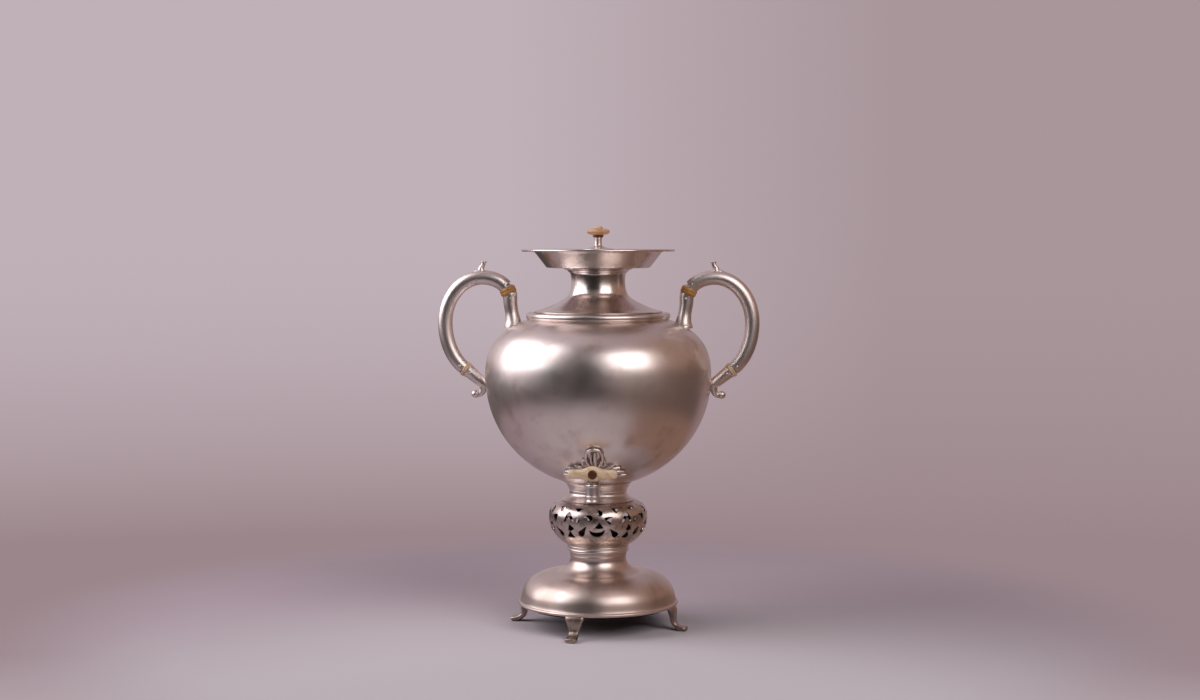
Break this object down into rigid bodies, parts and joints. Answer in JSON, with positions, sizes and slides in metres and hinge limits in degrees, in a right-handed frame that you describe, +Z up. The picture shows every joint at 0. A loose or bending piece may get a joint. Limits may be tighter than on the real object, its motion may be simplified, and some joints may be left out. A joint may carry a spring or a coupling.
{
  "type": "samovar",
  "caption": "Footed silver-plated tea urn with two looped handles on ivory rings, a lift-off lid with an ivory button, a pierced lamp gallery and a tap with an ivory cross lever.",
  "frame": {"origin": "on the surface the feet stand on, under the urn's vertical axis", "axes": "+Z up along the urn's axis; the tap points along -Y; the two handles lie along +X and -X"},
  "size_m": [0.335, 0.2356, 0.4193],
  "materials": {
    "silver_plate": "silver plate on brass, spun and polished, softly worn",
    "cast_silver": "silver plate on cast brass, polished, darker in the hollows",
    "steel": "turned steel fasteners, dull",
    "pale_ivory": "turned ivory, satin, fine grain",
    "amber_ivory": "turned ivory, aged to amber, satin",
    "dark_horn": "turned dark horn, satin",
    "washer_leather": "oiled leather, matte",
    "wick_cotton": "plaited cotton, matte"
  },
  "bodies": {
    "stand": {"base_dome": "silver_plate", "base_lip": "silver_plate", "foot_front": "cast_silver", "foot_right": "cast_silver", "foot_back": "cast_silver", "foot_left": "cast_silver", "stem_ring": "silver_plate", "pierced_gallery": "silver_plate", "urn_seat": "silver_plate", "stem_bolt": "steel", "stem_washer": "steel", "stem_nut": "steel", "lamp_font": "silver_plate", "lamp_burner": "silver_plate", "lamp_wick": "wick_cotton"},
    "urn": {"bowl_collar": "silver_plate", "urn_bowl": "silver_plate", "shoulder_band": "silver_plate", "neck": "silver_plate", "neck_collar": "silver_plate", "mouth_dish": "silver_plate", "right_upper_socket": "cast_silver", "right_upper_ivory_ring": "amber_ivory", "right_grip": "silver_plate", "right_lower_ivory_ring": "pale_ivory", "right_lower_socket": "cast_silver", "right_thumb_spur": "cast_silver", "left_upper_socket": "cast_silver", "left_upper_ivory_ring": "amber_ivory", "left_grip": "silver_plate", "left_lower_ivory_ring": "pale_ivory", "left_lower_socket": "cast_silver", "left_thumb_spur": "cast_silver", "tap_body": "cast_silver", "tap_washer": "washer_leather", "tap_nut": "cast_silver", "inlet_strainer": "silver_plate", "tap_leaf_plate": "cast_silver"},
    "lid": {"lid_dome": "silver_plate", "lid_skirt": "silver_plate", "knob_stem": "silver_plate", "knob_collar": "dark_horn", "ivory_button": "pale_ivory", "button_cap": "cast_silver", "lid_nut": "steel"},
    "tap_key": {"tap_plug": "cast_silver", "tap_lever": "pale_ivory", "lever_pin": "dark_horn"}
  },
  "joints": [
    {"name": "urn_lift", "type": "slide", "parent": "stand", "child": "urn", "axis": [0, 0, 1], "range_m": [0, 0.12]},
    {"name": "lid_lift", "type": "slide", "parent": "urn", "child": "lid", "axis": [0, 0, 1], "range_m": [0, 0.06]},
    {"name": "tap_turn", "type": "hinge", "parent": "urn", "child": "tap_key", "pos_m": [0, -0.11, 0.158], "axis": [0, 0, 1], "range_deg": [0, 90]}
  ]
}
